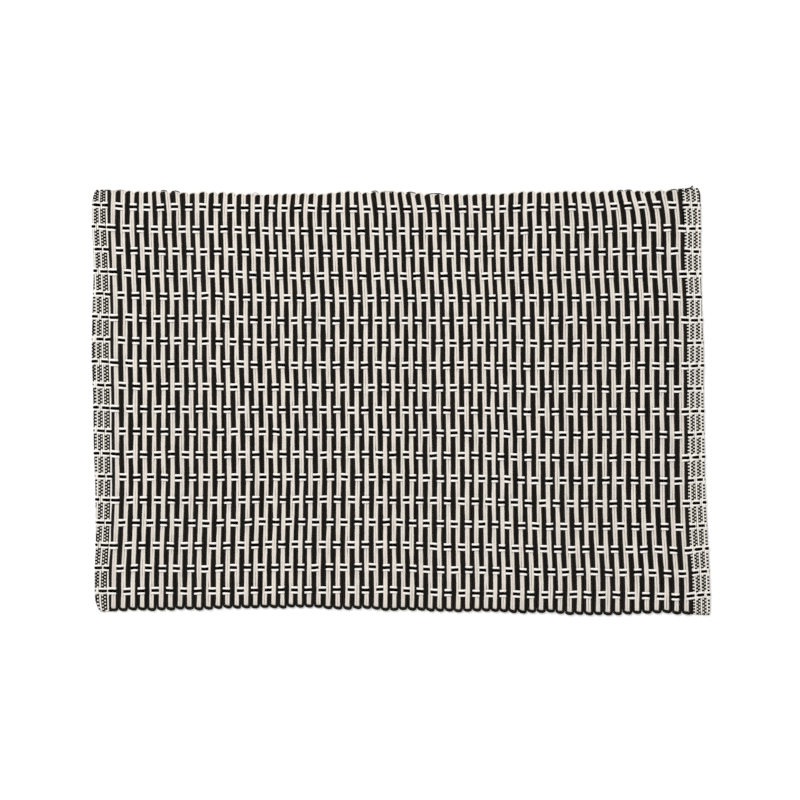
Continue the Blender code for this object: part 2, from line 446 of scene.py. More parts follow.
class CottonLook(bpy.types.PropertyGroup):
    """Colours of the yarns and how the thick ones are spun."""

    cream: ColourProperty("Cream", "Colour of the cream cords", (0.757, 0.702, 0.638))
    bright: ColourProperty("Bright cream", "Colour of the cream bars", (0.92, 0.89, 0.85))
    black: ColourProperty("Black", "Colour of the black cords", (0.0150, 0.0133, 0.0112))
    deep_black: ColourProperty(
        "Deep black", "Colour of the black bars and fine threads", (0.0034, 0.0024, 0.0018)
    )
    heading_cream: ColourProperty(
        "Heading cream", "Colour of the yarn along the headings", (0.84, 0.805, 0.735)
    )
    # A darkened cream: painted shadow of the cream loops along the far edge.
    shadowed_edge_cream: ColourProperty(
        "Edge cream", "Colour of the fine cream threads at the far edge", (0.50, 0.46, 0.385)
    )
    plies: CountProperty("Plies", "Strands twisted into one thick yarn", 3)
    lay: LengthProperty("Lay", "Length of one turn of a thick yarn's twist", 7.0 * MM)
    roughness: ShareProperty("Roughness", "Roughness of the cotton", 0.88)


class StudioSizes(bpy.types.PropertyGroup):
    """Camera and light above the mat."""

    height: LengthProperty("Camera height", "Height of the camera above the floor", 3.2)
    view_width: LengthProperty(
        "View width", "Width of the view at the height of the cloth", 0.6224
    )
    view_x: LengthProperty("View middle, along", "Middle of the view along the mat", -0.62 * MM)
    view_y: LengthProperty("View middle, across", "Middle of the view across the mat", 1.40 * MM)
    sky: StrengthProperty("Room light", "Strength of the even light of the room", 0.85)
    lamp: PowerProperty("Lamp", "Power of the soft lamp", 26.0)
    floor_glow: StrengthProperty("Floor glow", "How far the floor is lit from within", 0.12)


# Each yarn of a piece draws one of the strips of the piece's map, and its pattern
# follows the strip along and round the yarn.
MAP_NAME = "OFBake"
STRIPS = 16
STRIP_SEEDS = {"cords": 21, "bars": 22, "threads": 23}
STRIP_MARGIN = 0.05
CAP_WIDTH = 0.004
YARN_SIDES = 6

# Cotton yarn's look: how far painted shade between its plies and painted light on their
# crowns, its fibres, its lint and each yarn's own tone lighten it, from what base, and how
# far its lightest parts pass its colour.
PLY_PAINTED_SHADE, FIBRE_LIGHT, LINT_LIGHT, OWN_LIGHT = 0.42, 1.0, 0.6, 0.22
BASE_LIGHT = 0.25
LIGHTEST = 0.45

# How round the plies are, how the fibres are drawn out along and round the yarn, the
# fibres' and the lint's noise by its scale in each mm and its detail, and how far plies
# and fibres stand out.
PLY_ROUNDNESS = 0.6
FIBRE_STRETCH = (0.7, 3.0, 1.0)
FIBRE_NOISE, LINT_NOISE = (1.6, 5.0), (0.8, 3.0)
PLY_RELIEF, FIBRE_RELIEF = 0.6, 0.5

# How far the strips' twists and patterns differ.
STRIP_TURN = 0.37
STRIP_STEP = 9.7


class Number:
    """A socket of a material's nodes that takes part in Python sums."""

    def __init__(self, nodes, socket):
        self.nodes = nodes
        self.socket = socket

    def _math(self, operation, *values):
        return self.nodes.add(
            "ShaderNodeMath", {"operation": operation}, dict(enumerate(values))
        )

    def __add__(self, other):
        return self._math("ADD", self, other)

    __radd__ = __add__

    def __sub__(self, other):
        return self._math("SUBTRACT", self, other)

    def __rsub__(self, other):
        return self._math("SUBTRACT", other, self)

    def __mul__(self, other):
        return self._math("MULTIPLY", self, other)

    __rmul__ = __mul__

    def __truediv__(self, other):
        return self._math("DIVIDE", self, other)

    def __pow__(self, other):
        return self._math("POWER", self, other)

    def floor(self):
        return self._math("FLOOR", self)

    def ridges(self):
        """A row of round ridges, one for each whole number."""
        return self._math("ABSOLUTE", self._math("SINE", self * math.pi))

    def clamped(self):
        return self._math("MINIMUM", self._math("MAXIMUM", self, 0.0), 1.0)


class Nodes:
    """The node tree of one material."""

    def __init__(self, material):
        material.use_nodes = True
        self.tree = material.node_tree
        self.shader = self.tree.nodes["Principled BSDF"]

    def add(self, kind, settings=None, sockets=None, output=0):
        """Adds a node, with its settings first and then its sockets' values or links."""
        node = self.tree.nodes.new(kind)
        for name, value in (settings or {}).items():
            setattr(node, name, value)
        for name, value in (sockets or {}).items():
            self.set(node.inputs[name], value)
        return Number(self, node.outputs[output])

    def set(self, socket, value):
        if isinstance(value, Number):
            self.tree.links.new(value.socket, socket)
        else:
            socket.default_value = value

    def surface(self, values):
        """Sets or links the shader's own sockets."""
        for name, value in values.items():
            self.set(self.shader.inputs[name], value)

    def map_axes(self):
        """The two axes of the piece's own map, each from 0 to 1."""
        place = self.add("ShaderNodeUVMap", {"uv_map": MAP_NAME})
        split = self.add("ShaderNodeSeparateXYZ", {}, {"Vector": place}).socket.node
        return Number(self, split.outputs["X"]), Number(self, split.outputs["Y"])

    def mix(self, factor, first, second):
        """A colour between two others."""
        return self.add(
            "ShaderNodeMix", {"data_type": "RGBA"}, {0: factor, 6: first, 7: second}, output=2
        )

    def noise(self, vector, scale, detail):
        return self.add(
            "ShaderNodeTexNoise", {"noise_dimensions": "3D"},
            {"Vector": vector, "Scale": scale, "Detail": detail, "Roughness": 0.6},
        )

    def bump(self, height, strength, distance):
        return self.add(
            "ShaderNodeBump", {}, {"Strength": strength, "Distance": distance, "Height": height}
        )


def shade(colour, factor):
    return (*(min(1.0, part * factor) for part in colour), 1.0)


class Spin(NamedTuple):
    """How a yarn is spun. Its contrast is how far its light and dark fibres differ."""

    length: float
    contrast: float
    plies: int
    lay: float


def cotton(name, colour, size, spin):
    """Twisted cotton yarn. Its pattern follows the yarn, along and round it.

    Dark yarn is less glossy and has less fuzz than pale yarn has.
    """
    look = bpy.context.scene.placemat_cotton
    material = bpy.data.materials.new(name)
    nodes = Nodes(material)
    along, around = nodes.map_axes()
    along = along * (spin.length / MM)
    lanes = around * STRIPS
    strip = lanes.floor()
    turn = (lanes - strip - STRIP_MARGIN) / (1 - 2 * STRIP_MARGIN)

    wound = along / (spin.lay / MM)
    ply = (turn * spin.plies + wound + strip * STRIP_TURN).ridges() ** PLY_ROUNDNESS
    girth = math.pi * sum(size) / 2
    around = (turn + wound / spin.plies) * (girth / MM)
    spot = nodes.add(
        "ShaderNodeCombineXYZ", {}, {"X": along, "Y": around, "Z": strip * STRIP_STEP}
    )
    drawn_out = nodes.add(
        "ShaderNodeVectorMath", {"operation": "MULTIPLY"}, {0: spot, 1: FIBRE_STRETCH}
    )
    fibres, lint = nodes.noise(drawn_out, *FIBRE_NOISE), nodes.noise(spot, *LINT_NOISE)
    own = nodes.add("ShaderNodeTexWhiteNoise", {"noise_dimensions": "1D"}, {"W": strip})

    # Painted shade and light: the plies' ridges darken the grooves between plies and lighten
    # their crowns.
    light = BASE_LIGHT + PLY_PAINTED_SHADE * ply
    for part, share in ((fibres, FIBRE_LIGHT), (lint, LINT_LIGHT), (own, OWN_LIGHT)):
        light = light + share * (part - 0.5)
    dark, pale = shade(colour, 1 - spin.contrast), shade(colour, 1 + LIGHTEST * spin.contrast)
    paleness = min(1.0, max(colour))
    relief = PLY_RELIEF * ply + FIBRE_RELIEF * fibres
    nodes.surface({
        "Base Color": nodes.mix(light.clamped(), dark, pale),
        "Roughness": (look.roughness + 0.10 * (fibres - 0.5)).clamped(),
        "Metallic": 0.0,
        "Specular IOR Level": 0.2 * paleness,
        "Sheen Weight": 0.10 * paleness,
        "Sheen Roughness": 0.5,
        "Normal": nodes.bump(relief, strength=0.8, distance=0.25 * MM),
    })
    return material


def settled(y, x):
    """How far the cloth has dropped towards the surface near its long edges."""
    sizes = bpy.context.scene.placemat_weave
    gap = np.minimum(line_y("far", x) - y, y - line_y("near", x))
    return sizes.edge_drop * ease(1 - gap / sizes.edge_reach)


SURFACE_GAP = 0.05 * MM


def above_surface(z, height):
    """Keeps yarn of this height from sinking into the surface below the mat."""
    return np.maximum(z, height / 2 + SURFACE_GAP)


def add_object(name, data):
    thing = bpy.data.objects.new(name, data)
    bpy.context.scene.collection.objects.link(thing)
    return thing


def ring(size, sides):
    """The outline of a yarn's section, as a guide curve for its bevel."""
    guide = bpy.data.curves.new("yarn_section", "CURVE")
    guide.dimensions = "2D"
    spline = guide.splines.new("POLY")
    spline.points.add(sides - 1)
    spline.use_cyclic_u = True
    width, height = size
    for k, point in enumerate(spline.points):
        angle = -2 * math.pi * (k + 0.5) / sides
        point.co = (width / 2 * math.cos(angle), height / 2 * math.sin(angle), 0, 1)
    return add_object("yarn_section", guide)


def yarn_piece(name, runs, size, material, sides=YARN_SIDES):
    """Makes one mesh of yarns. A run is its points, its thickness at each and a strip."""
    curve = bpy.data.curves.new(name, "CURVE")
    curve.dimensions = "3D"
    curve.twist_mode = "Z_UP"
    curve.bevel_mode = "OBJECT"
    curve.bevel_object = ring(size, sides)
    for _ in range(STRIPS):
        curve.materials.append(material)
    for points, thickness, strip in runs:
        spline = curve.splines.new("POLY")
        spline.points.add(len(points) - 1)
        spline.points.foreach_set("co", np.c_[points, np.ones(len(points))].ravel())
        spline.points.foreach_set("radius", np.broadcast_to(thickness, len(points)).ravel())
        spline.material_index = strip
    guide = add_object(name, curve)
    graph = bpy.context.evaluated_depsgraph_get()
    mesh = bpy.data.meshes.new_from_object(guide.evaluated_get(graph))
    bpy.data.objects.remove(curve.bevel_object)
    bpy.data.objects.remove(guide)
    close_ends(mesh)
    lay_out(mesh)
    mesh.materials.clear()
    mesh.materials.append(material)
    mesh.polygons.foreach_set("material_index", np.zeros(len(mesh.polygons), int))
    mesh.shade_smooth()
    mesh.name = name
    piece = add_object(name, mesh)
    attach(piece, "root")
    return piece


def close_ends(mesh):
    """Closes both ends of every yarn. On the map a cap slants inwards from its rim."""
    bm = bmesh.new()
    bm.from_mesh(mesh)
    rims = [edge for edge in bm.edges if edge.is_boundary]
    caps = bmesh.ops.holes_fill(bm, edges=rims, sides=0)["faces"]
    layer = bm.loops.layers.uv.active
    for cap in caps:
        cap.material_index = max(face.material_index for face in cap.edges[0].link_faces)
        for loop in cap.loops:
            spot = loop[layer].uv
            spot.x += math.copysign(CAP_WIDTH, 0.5 - spot.x) * abs(spot.y - 0.5)
    bm.to_mesh(mesh)
    bm.free()


def lay_out(mesh):
    """Gives every yarn the strip of the map that it drew."""
    layer = mesh.uv_layers[0]
    layer.name = MAP_NAME
    spots = np.empty(2 * len(mesh.loops), np.float32)
    layer.uv.foreach_get("vector", spots)
    spots = spots.reshape(-1, 2)
    strips, corners = (np.empty(len(mesh.polygons), np.int32) for _ in range(2))
    mesh.polygons.foreach_get("material_index", strips)
    mesh.polygons.foreach_get("loop_total", corners)
    strip = np.repeat(strips, corners)
    spots[:, 1] = (strip + STRIP_MARGIN + (1 - 2 * STRIP_MARGIN) * spots[:, 1]) / STRIPS
    layer.uv.foreach_set("vector", spots.ravel())


def drawn_strip(rng):
    return int(rng.integers(0, STRIPS))


def spread_strips(count):
    """Strips for a few yarns, as far apart as they can be."""
    return [int(strip) for strip in np.linspace(0, STRIPS - 1, count).round()]


class Turn(NamedTuple):
    """How a yarn turns at a long edge. Lengths are in mm."""

    inset: float
    rise: float
    lift: float
    swell: float
    slant: float
    squareness: float
    gap: float


# The turns at the two long edges: those that loop over to the next cord of the same
# colour, and those that turn back on the cord's own second yarn. They count as lying at
# TURN_ROWS among the rows.
TURNS = {
    ("far", "loop"): Turn(0.85, 2.1, 0.35, 0.62, 0.27, 0.72, 0.0),
    ("far", "own"): Turn(1.60, 0.9, -0.35, 1.0, 0.27, 0.5, 0.03),
    ("near", "loop"): Turn(1.22, 1.7, 0.35, 1.36, -0.16, 0.72, 0.0),
    ("near", "own"): Turn(2.75, 0.9, -0.35, 1.0, -0.14, 0.6, 0.03),
}
TURN_ROWS = {"far": -0.7, "near": ROWS - 0.15}
TURN_STEPS = 6

# A cord's yarn: its points from one row to the next and at a plain end, how sharply it
# rises and falls, within how many rows that fades beyond the outer ones, how it flares
# at the far edge where it is the body's outermost, the length of two joined yarns, and
# the contrast of either colour.
CORD_SIDES = 8
ROW_STEPS = (-0.32, -0.14, 0.0, 0.14, 0.32)
PLAIN_END_INSETS = np.array([0.5, 0.75, 1.3, 3.5]) * MM
CRIMP_SHARPNESS = 1.6
CRIMP_FADE = 0.5
FLARE = (1.3, 1.3, 1.25, 1.2, 1.1, 1.05, 1.0)
LOOPED_LENGTH = 0.67
CORD_CONTRASTS = {"cream": 0.24, "black": 0.85}


def cord_points(yarn, rows, y):
    """Points of a cord's yarn at some places among the rows."""
    sizes = bpy.context.scene.placemat_weave
    x = cord_x(yarn, rows, y)
    side = 1 - 2 * (yarn // FLOAT % 2)
    wave = side * np.cos(math.pi * rows)
    wave = np.sign(wave) * np.abs(wave) ** CRIMP_SHARPNESS
    fade = np.clip(1 + np.minimum(rows, ROWS - 1 - rows) / CRIMP_FADE, 0, 1)
    z = sizes.middle + sizes.cord_crimp * wave * fade - settled(y, x)
    return np.c_[x, y, z + HEIGHT_DRIFT(yarn, rows)]


def turn_points(yarn, partner, end, turn):
    """A yarn's turn at a long edge, from half way to its partner back to the yarn."""
    sizes = bpy.context.scene.placemat_weave
    outwards, row = OUTWARDS[end], TURN_ROWS[end]
    half_way = (yarn + partner) / 2
    guess = cord_x(half_way, row, line_y(end, 0.0))
    apex = line_y(end, guess) - outwards * (turn.inset * MM + LOOP_DRIFT(half_way, row))
    base = apex - outwards * turn.rise * MM
    angle = np.linspace(math.pi / 2, 0.0, TURN_STEPS)
    y = base + outwards * turn.rise * MM * np.sin(angle) ** turn.squareness
    own, middle = cord_x(yarn, row, base), cord_x(half_way, row, base)
    x = middle + (own - middle) * np.clip(np.cos(angle), 0, 1) ** turn.squareness
    x[0] += turn.gap * MM * math.copysign(1, own - middle)
    y = y + (turn.slant + SLANT_DRIFT(half_way, row)) * (x - middle)
    z = sizes.middle - settled(y, x) + HEIGHT_DRIFT(yarn, row)
    z = z + turn.lift * MM * np.sin(angle)
    return np.c_[x, y, z]


def plain_end_points(yarn, end):
    """A yarn's plain end at a long edge."""
    row = TURN_ROWS[end]
    edge = line_y(end, cord_x(yarn, row, line_y(end, 0.0)))
    y = edge - OUTWARDS[end] * PLAIN_END_INSETS
    return cord_points(yarn, np.full(len(y), row), y)


def is_cream(index):
    return (index + 1) // YARNS_PER_CORD % 2 == 1


def own_side(index):
    """On which side of a yarn its cord's other yarn lies: 1 is the right."""
    return 1 if (index + 1) % YARNS_PER_CORD == 0 else -1


def yarn_place(index):
    """Where a yarn lies among the yarns, and how thick it is beside the others."""
    closeness = CREAM_CLOSENESS if is_cream(index) else 0.0
    return END_YARNS.get(index, (index + 0.5 + closeness * own_side(index), 1.0))


def cord_run(index):
    """One yarn of a cord, from its far turn to its near one, and its thickness.

    At the far edge the cream yarns loop over the black cords, and at the near edge
    the black yarns loop under the cream ones. The other yarns turn back on their
    cord's own second yarn.
    """
    sizes = bpy.context.scene.placemat_weave
    cream = is_cream(index)
    yarn, stoutness = yarn_place(index)
    parts, swells = {}, {}
    for end, loops in (("far", cream), ("near", not cream)):
        turn = TURNS[(end, "loop" if loops else "own")]
        partner = index - FLOAT * own_side(index) if loops else index + own_side(index)
        if 0 <= partner < YARNS:
            parts[end] = turn_points(yarn, yarn_place(partner)[0], end, turn)
            swells[end] = np.linspace(turn.swell, 1.0, TURN_STEPS)
        else:
            parts[end] = plain_end_points(yarn, end)
            swells[end] = np.ones(len(parts[end]))
    rows = np.array([row + step for row in range(ROWS) for step in ROW_STEPS])
    body = cord_points(yarn, rows, crossing_y(yarn, rows))
    points = np.vstack([parts["far"], body, parts["near"][::-1]])
    thickness = np.full(len(points), stoutness * (1 if cream else 1 + sizes.black_swell))
    thickness[:len(swells["far"])] *= swells["far"]
    thickness[-len(swells["near"]):] *= swells["near"][::-1]
    steady = slice(TURN_STEPS, len(points) - TURN_STEPS)
    thickness[steady] += THICKNESS(yarn, points[steady, 1] / ROW_SPACING)
    if index in END_YARNS:
        thickness[:len(FLARE)] *= FLARE
    points[:, 2] = above_surface(points[:, 2], sizes.cord_height * thickness)
    return points, thickness


def looped_run(index, partner):
    """Two yarns in one, joined by the loop from one to the other, and their thickness."""
    points, thickness = cord_run(index)
    if partner is None:
        return points, thickness
    onwards, thick = cord_run(partner)
    if is_cream(index):
        points, thickness = points[::-1], thickness[::-1]
    else:
        onwards, thick = onwards[::-1], thick[::-1]
    points[-1] = (points[-1] + onwards[0]) / 2
    return np.vstack([points, onwards[1:]]), np.r_[thickness, thick[1:]]


def loop_pairs(cream):
    """The yarns of one colour, each with the yarn it loops over to at a long edge."""
    indices = [index for index in range(YARNS) if is_cream(index) == cream]
    starts = [index for index in indices if index % YARNS_PER_CORD == 0 or index < FLOAT]
    return [(index, index + FLOAT if index + FLOAT in indices else None) for index in starts]


class PLACEMAT_OT_cords(bpy.types.Operator):
    """Weave the thick cream and black yarns that run across the mat's depth"""

    bl_idname = "placemat.cords"
    bl_label = "Weave Cords"

    def execute(self, context):
        sizes, look = context.scene.placemat_weave, context.scene.placemat_cotton
        size = (sizes.cord_width, sizes.cord_height)
        rng = np.random.default_rng(STRIP_SEEDS["cords"])
        for name, colour in (("cream", look.cream), ("black", look.black)):
            spin = Spin(LOOPED_LENGTH, CORD_CONTRASTS[name], look.plies, look.lay)
            material = cotton(name + "_cord_cotton", colour, size, spin)
            pairs = loop_pairs(name == "cream")
            half = len(pairs) // 2
            for side, inside in zip(SIDES, (pairs[:half], pairs[half:])):
                runs = [(*looped_run(*pair), drawn_strip(rng)) for pair in inside]
                yarn_piece(f"{name}_cords_{side}", runs, size, material, CORD_SIDES)
        return {"FINISHED"}


# The bars. A row has three ends, named for their places. A float of an end, from one
# crossing to the next, has its points at shares of its way and of its height. No float
# at the mat's outer ends is shorter than LEAST_FLOAT. The ends of a row vary in
# thickness as if they lay ENDS_APART rows apart.
ROW_ENDS = {-1: "far", 0: "middle", 1: "near"}
FLOAT_STEPS = (0.0, 0.11, 0.27, 0.50, 0.73, 0.89)
FLOAT_RISES = (0.0, 0.58, 0.95, 1.04, 0.95, 0.58)
LEAST_FLOAT = 0.9 * MM
ENDS_APART = 0.3
ROW_LENGTH = 0.60
BAR_CONTRASTS = {"cream": 0.12, "black": 0.55}

# Where an end is tucked under at the mat's outer ends: how far in each point lies, at
# what share of the end's height, and how thick it is there.
TUCK = ((0.0, 0.78, 0.9), (0.55 * MM, 0.52, 0.85), (1.6 * MM, 0.50, 0.8))

# Beyond the body's border the ends change within HEADING_START: they draw together,
# and the black one rises and swells.
HEADING_START = 1.5 * MM
HEADING_CLOSENESS = 0.16
BLACK_BAR_RISE = 0.26 * MM
BLACK_BAR_SWELL = 0.14


def row_crossings(row):
    """If a row's ends start on the face, and where they leave or reach it, left to right."""
    yarns = np.arange(FLOAT, YARNS - 1, FLOAT)
    spots = {"body": cord_x(yarns, row, crossing_y(yarns, row))}
    for side in SIDES:
        outwards = OUTWARDS[side]
        y = heading_y(row, outwards * HEADING_MIDDLE)
        edge = heading_edge(side, y)
        crossings = heading_x(side, np.array(HEADING_CROSSINGS[(side, row % 2)]), y)
        crossings = crossings[outwards * (edge - crossings) > 0]
        inside, _ = within_heading(side, crossings, y, LEAST_FLOAT)
        spots[side] = np.r_[inside, edge]
    starts_over = (row + len(spots["left"]) - 1) % 2 == 1
    return starts_over, np.r_[spots["left"][::-1], spots["body"], spots["right"]]


def heading_share(x, y):
    """Runs from 0 in the body to 1 in the headings."""
    past = np.maximum(end_x("body_left", y) - x, x - end_x("body_right", y))
    return np.clip(past / HEADING_START, 0, 1)


def bar_y(row, end, x):
    """How far across the mat one of a row's ends runs, at places along the mat."""
    y = row_y(row, x)
    drift = ROW_DRIFT(yarn_near(x), row) + BAR_DRIFT(yarn_near(x), row)
    pitch = bpy.context.scene.placemat_weave.bar_pitch
    return y - end * pitch * (1 - HEADING_CLOSENESS * heading_share(x, y)) + drift


def bar_run(row, end):
    """One of the three ends of a row, from one end of the mat to the other."""
    sizes, heading = bpy.context.scene.placemat_weave, bpy.context.scene.placemat_heading
    over, spots = row_crossings(row)
    x, lift = [], []
    for start, stop in zip(spots, spots[1:]):
        x += [start + (stop - start) * step for step in FLOAT_STEPS]
        lift += [rise if over else -rise for rise in FLOAT_RISES]
        over = not over
    x, lift = np.r_[x, spots[-1]], np.r_[lift, 0.0]
    y = bar_y(row, end, x)
    fine = heading_share(x, y)
    middle = sizes.middle + (heading.middle - sizes.middle) * fine
    crimp = sizes.bar_crimp + (heading.bar_crimp - sizes.bar_crimp) * fine
    thickness = 1 + THICKNESS(yarn_near(x), row + ENDS_APART * end)
    if end == 0:
        crimp = crimp + BLACK_BAR_RISE * fine
        thickness = thickness + BLACK_BAR_SWELL * fine
    z = middle + crimp * lift - settled(y, x) + HEIGHT_DRIFT(yarn_near(x), row)
    points = turned_under(np.c_[x, y, z])
    tucked = [thick for _, _, thick in TUCK]
    thickness = np.r_[tucked[::-1], thickness, tucked]
    points[:, 2] = above_surface(points[:, 2], sizes.bar_height * thickness)
    return points, thickness


def turned_under(points):
    """Carries a row's end round both outer ends of the mat to its underside."""
    (left, *_, right) = points
    starts, stops = (
        [(x + inwards * reach, y, z * height) for reach, height, _ in TUCK]
        for (x, y, z), inwards in ((left, 1), (right, -1))
    )
    return np.vstack([starts[::-1], points, stops])


class PLACEMAT_OT_bars(bpy.types.Operator):
    """Weave the rows of cream, black and cream bars that run along the mat"""

    bl_idname = "placemat.bars"
    bl_label = "Weave Bars"

    def execute(self, context):
        sizes, look = context.scene.placemat_weave, context.scene.placemat_cotton
        rng = np.random.default_rng(STRIP_SEEDS["bars"])
        for name, ends, colour, width in (
            ("cream", (-1, 1), look.bright, sizes.bar_width),
            ("black", (0,), look.deep_black, sizes.black_bar_width),
        ):
            size = (width, sizes.bar_height)
            spin = Spin(ROW_LENGTH, BAR_CONTRASTS[name], look.plies, look.lay)
            material = cotton(name + "_bars_cotton", colour, size, spin)
            for end in ends:
                runs = [(*bar_run(row, end), drawn_strip(rng)) for row in range(ROWS)]
                yarn_piece(f"{name}_bars_{ROW_ENDS[end]}", runs, size, material)
        return {"FINISHED"}


# The picks. Their ends turn PICK_END_INSET inside the long edges, or where they would
# pass the heading's rounded corner by more than LEAST_PICK_HOLD, which PICK_PLACES
# places across the mat show. Nothing crosses a pick within LEAST_PICK_STEP of an end.
# A turn is PICK_TURN deep. Its shoulder lies at shares of the way aside and out, and an
# end without a turn at a share of it.
PICK_END_INSET = 1.3 * MM
PICK_PLACES = 661
LEAST_PICK_HOLD = 0.7 * MM
LEAST_PICK_STEP = 0.4 * MM
PICK_TURN = 0.75 * MM
PICK_SHOULDER = (0.25, 0.7)
PLAIN_PICK_END = 0.5
PICK_GAP = 0.03 * MM
PICK_SPIN = Spin(length=0.33, contrast=0.16, plies=2, lay=5.0 * MM)

# A pick that would pass the heading's outer end sinks by as much, but no deeper than
# this. The headings settle less than the body towards the long edges.
DEEPEST_PICK = 0.8 * MM
HEADING_SETTLES = 0.6

# The threads: half the length of a float, how far past the rounded corner a thread
# still holds, how far it sinks there, and how much and how often it wanders.
HALF_DOTS = {"left": 0.79 * MM, "right": 0.60 * MM}
LEAST_THREAD_HOLD = 1.1 * MM
THREAD_SINK = 0.5
THREAD_WANDER = 0.4
WANDER_STEP = 1.8 * MM
THREAD_SPIN = Spin(length=0.018, contrast=0.45, plies=2, lay=4.0 * MM)

# A thread's two ends, under the body and at the mat's outer end: how far in each point
# lies from the first float and from the outer end, and at what share of the height.
THREAD_FOOT = np.array([(2.2 * MM, 0.66), (1.0 * MM, 0.72)])
THREAD_TUCK = np.array([(0.18 * MM, 0.94), (0.55 * MM, 0.50), (1.7 * MM, 0.42)])


def heading_z(y, x):
    """The height of a heading's middle layer, lower towards the long edges."""
    return bpy.context.scene.placemat_heading.middle - HEADING_SETTLES * settled(y, x)


def bar_is_over(side, row, reach):
    """If a row's ends lie on the face of a heading, so far in mm from the body."""
    crossed = np.searchsorted(HEADING_CROSSINGS[(side, row % 2)], reach)
    return (row + crossed) % 2 == 1


def pick_spots(side, pick, y):
    """Where a pick lies at places across the mat: x, z before it bends, and how far it
    would have passed the heading's outer end."""
    reach, _ = PICKS[side][pick]
    margin = bpy.context.scene.placemat_heading.pick_width / 2
    x, past = within_heading(side, heading_x(side, reach, y), y, margin)
    return x, heading_z(y, x) - np.minimum(past, DEEPEST_PICK), past


def pick_ends(side, pick):
    """Where a pick turns at its near and far ends, before it would leave the heading."""
    x = heading_x(side, PICKS[side][pick][0], 0.0)
    near, far = line_y("near", x) + PICK_END_INSET, line_y("far", x) - PICK_END_INSET
    y = np.linspace(near, far, PICK_PLACES)
    held = y[pick_spots(side, pick, y)[2] < LEAST_PICK_HOLD]
    return held[0], held[-1]


def pick_crossings(side, pick):
    """The threads and rows' ends that a pick crosses: where each is, and 1 if the pick
    passes over it or -1 if under."""
    reach, kind = PICKS[side][pick]
    x = heading_x(side, reach, 0.0)
    crossings = [(heading_y(place, x), kind == other) for place, other in thread_places()]
    for row in range(ROWS):
        under = bar_is_over(side, row, reach)
        crossings += [(bar_y(row, end, x), under) for end in ROW_ENDS]
    return sorted((float(y), -1 if under else 1) for y, under in crossings)


def pick_run(side, pick):
    """One pick of a heading, with half of its turn into the next pick at either end.

    Picks of even places turn into the next one at the near edge and into the one
    before at the far edge.
    """
    heading = bpy.context.scene.placemat_heading
    near, far = pick_ends(side, pick)
    crossings = [
        (y, lift) for y, lift in pick_crossings(side, pick)
        if near + LEAST_PICK_STEP < y < far - LEAST_PICK_STEP
    ]
    y, lift = np.array([(near, 0), *crossings, (far, 0)]).T
    x, z, _ = pick_spots(side, pick, y)
    z = above_surface(z + heading.pick_crimp * lift, heading.pick_height)
    points = np.c_[x, y, z]
    step = 1 if pick % 2 == 0 else -1
    turns = []
    for own, outwards, partner in (
        (points[0], OUTWARDS["near"], pick + step),
        (points[-1], OUTWARDS["far"], pick - step),
    ):
        if 0 <= partner < len(PICKS[side]):
            middle = (own[0] + float(pick_spots(side, partner, own[1])[0])) / 2
            aside, out = PICK_SHOULDER
            turns.append([
                own + ((middle - own[0]) * aside, outwards * PICK_TURN * out, 0),
                (middle + math.copysign(PICK_GAP, own[0] - middle),
                 own[1] + outwards * PICK_TURN, own[2]),
            ])
        else:
            turns.append([own + (0, outwards * PICK_TURN * PLAIN_PICK_END, 0)])
    return np.vstack([turns[0][::-1], points, turns[1]])


def thread_run(side, place, kind):
    """One fine thread across a heading, from under the body to its tucked end."""
    heading = bpy.context.scene.placemat_heading
    inwards = -OUTWARDS[side]
    reaches, kinds = (np.array(values) for values in zip(*PICKS[side]))
    centres = heading_x(side, reaches, heading_y(place, -inwards * HEADING_MIDDLE))
    y = heading_y(place, centres)
    edge = heading_edge(side, y[-1])
    centres, past = within_heading(side, centres, y, heading.pick_width / 2)
    held = past <= LEAST_THREAD_HOLD
    half = inwards * HALF_DOTS[side]
    x = np.c_[centres + half, centres - half][held].ravel()
    rises = np.where(kinds == kind, 1, -1)
    rises, sunk = (np.repeat(values[held], 2) for values in (rises, past))
    z = heading_z(heading_y(place, x), x) + heading.thread_crimp * rises - THREAD_SINK * sunk
    low = float(heading_z(heading_y(place, edge), edge))
    feet, tuck = THREAD_FOOT, THREAD_TUCK
    x = np.r_[x[0] + inwards * feet[:, 0], x, edge + inwards * tuck[:, 0]]
    z = np.r_[low * feet[:, 1], z, low * tuck[:, 1]]
    y = heading_y(place, x)
    y[:len(feet)], y[-len(tuck):] = y[len(feet)], y[-len(tuck) - 1]
    z = above_surface(z, heading.thread_height)
    return np.c_[x, y + THREAD_WANDER * BAR_DRIFT(x / WANDER_STEP, place), z]


class PLACEMAT_OT_headings(bpy.types.Operator):
    """Weave the fine headings at both ends of the mat"""

    bl_idname = "placemat.headings"
    bl_label = "Weave Headings"

    def execute(self, context):
        heading, look = context.scene.placemat_heading, context.scene.placemat_cotton
        size = (heading.pick_width, heading.pick_height)
        cream = cotton("heading_pick_cotton", look.heading_cream, size, PICK_SPIN)
        for side in SIDES:
            strips = spread_strips(len(PICKS[side]))
            runs = [(pick_run(side, pick), 1.0, strip) for pick, strip in enumerate(strips)]
            yarn_piece(f"heading_picks_{side}", runs, size, cream)
        size = (heading.thread_width, heading.thread_height)
        black = cotton("heading_thread_cotton", look.deep_black, size, THREAD_SPIN)
        rng = np.random.default_rng(STRIP_SEEDS["threads"])
        for side in SIDES:
            runs = [
                (thread_run(side, place, kind), 1.0, drawn_strip(rng))
                for place, kind in thread_places()
            ]
            yarn_piece(f"heading_threads_{side}", runs, size, black)
        return {"FINISHED"}


